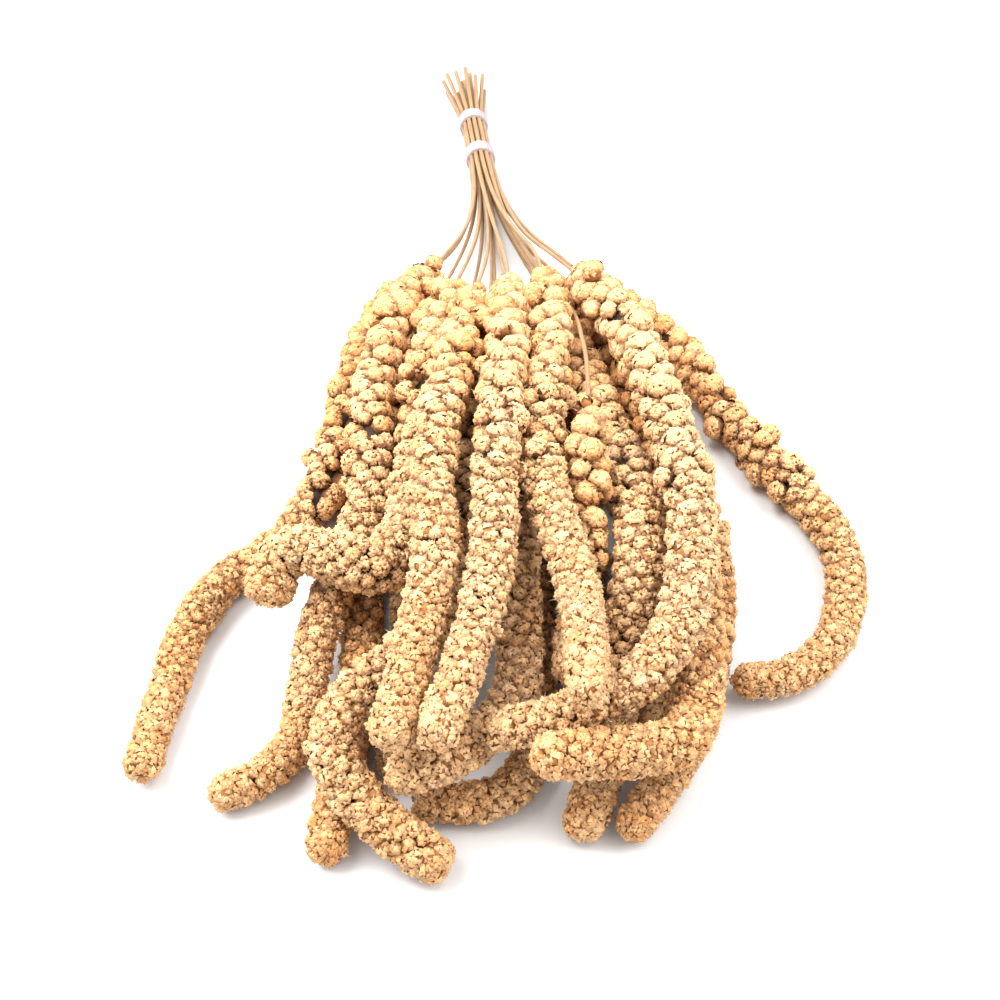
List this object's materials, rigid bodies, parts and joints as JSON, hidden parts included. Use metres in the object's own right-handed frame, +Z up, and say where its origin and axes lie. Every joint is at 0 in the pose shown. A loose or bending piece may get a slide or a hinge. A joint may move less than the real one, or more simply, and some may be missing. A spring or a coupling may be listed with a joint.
{
  "type": "bunch of dried foxtail millet",
  "caption": "Tied bunch of dried foxtail millet lying on its side: thin straw stalks held by pale bands, fanning out into long curved seed heads with blunt tips.",
  "frame": {"origin": "under the middle of the bunch's box, on the surface that it lies on", "axes": "+Y from the tips of the seed heads towards the cut ends of the stalks, +X across the bunch, +Z up"},
  "size_m": [0.2552, 0.5714, 0.0665],
  "materials": {
    "seed_heads": "matte",
    "straw_stalks": "satin",
    "tie": "matte"
  },
  "bodies": {
    "root": {"head_left_outer": "seed_heads", "head_left_inner": "seed_heads", "head_elbow": "seed_heads", "head_front_left": "seed_heads", "head_low_left": "seed_heads", "head_top_left": "seed_heads", "head_top_centre": "seed_heads", "head_top_right": "seed_heads", "head_loose": "seed_heads", "head_back_right": "seed_heads", "head_sweep": "seed_heads", "head_inner_right": "seed_heads", "head_right_outer": "seed_heads", "head_front_right": "seed_heads", "head_right_loop": "seed_heads", "head_crossing": "seed_heads", "head_centre_low": "seed_heads", "head_shadowed": "seed_heads", "head_under_left": "seed_heads", "stalk_left_outer": "straw_stalks", "stalk_left_inner": "straw_stalks", "stalk_elbow": "straw_stalks", "stalk_front_left": "straw_stalks", "stalk_low_left": "straw_stalks", "stalk_top_left": "straw_stalks", "stalk_top_centre": "straw_stalks", "stalk_top_right": "straw_stalks", "stalk_loose": "straw_stalks", "stalk_back_right": "straw_stalks", "stalk_sweep": "straw_stalks", "stalk_inner_right": "straw_stalks", "stalk_right_outer": "straw_stalks", "stalk_front_right": "straw_stalks", "stalk_right_loop": "straw_stalks", "stalk_crossing": "straw_stalks", "stalk_centre_low": "straw_stalks", "stalk_shadowed": "straw_stalks", "stalk_under_left": "straw_stalks", "tie_near": "tie", "tie_far": "tie"}
  },
  "joints": []
}
